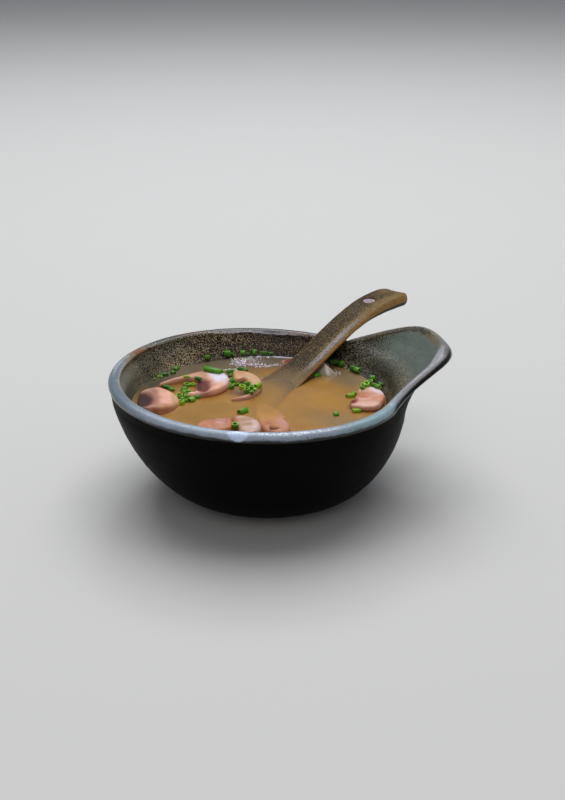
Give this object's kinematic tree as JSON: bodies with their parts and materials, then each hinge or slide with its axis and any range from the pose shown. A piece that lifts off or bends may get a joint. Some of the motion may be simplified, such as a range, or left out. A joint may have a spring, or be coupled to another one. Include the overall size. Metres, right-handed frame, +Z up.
{
  "type": "bowl of miso soup with a spoon",
  "caption": "Stoneware bowl with a pulled-up pouring lip, filled with miso soup, mushroom slices, tofu and cut chives, with a flat-handled spoon resting in it.",
  "frame": {"origin": "centre of the whole object's box in plan, at the foot ring's underside on the table", "axes": "+Z up; +X toward the bowl's pulled-up lip; +Y to the left of the lip seen from above, the side the spoon's handle leans to"},
  "size_m": [0.1534, 0.1478, 0.0652],
  "materials": {
    "bowl_glaze": "gloss",
    "spoon_glaze": "gloss",
    "soup": "gloss",
    "mushroom": "satin",
    "tofu": "satin",
    "chives": "satin"
  },
  "bodies": {
    "root": {"bowl": "bowl_glaze", "spoon": "spoon_glaze", "soup": "soup", "mushroom_slice_1": "mushroom", "mushroom_slice_2": "mushroom", "mushroom_slice_3": "mushroom", "mushroom_slice_4": "mushroom", "mushroom_slice_5": "mushroom", "mushroom_slice_6": "mushroom", "mushroom_slice_7": "mushroom", "mushroom_slice_8": "mushroom", "tofu": "tofu"}
  },
  "joints": []
}
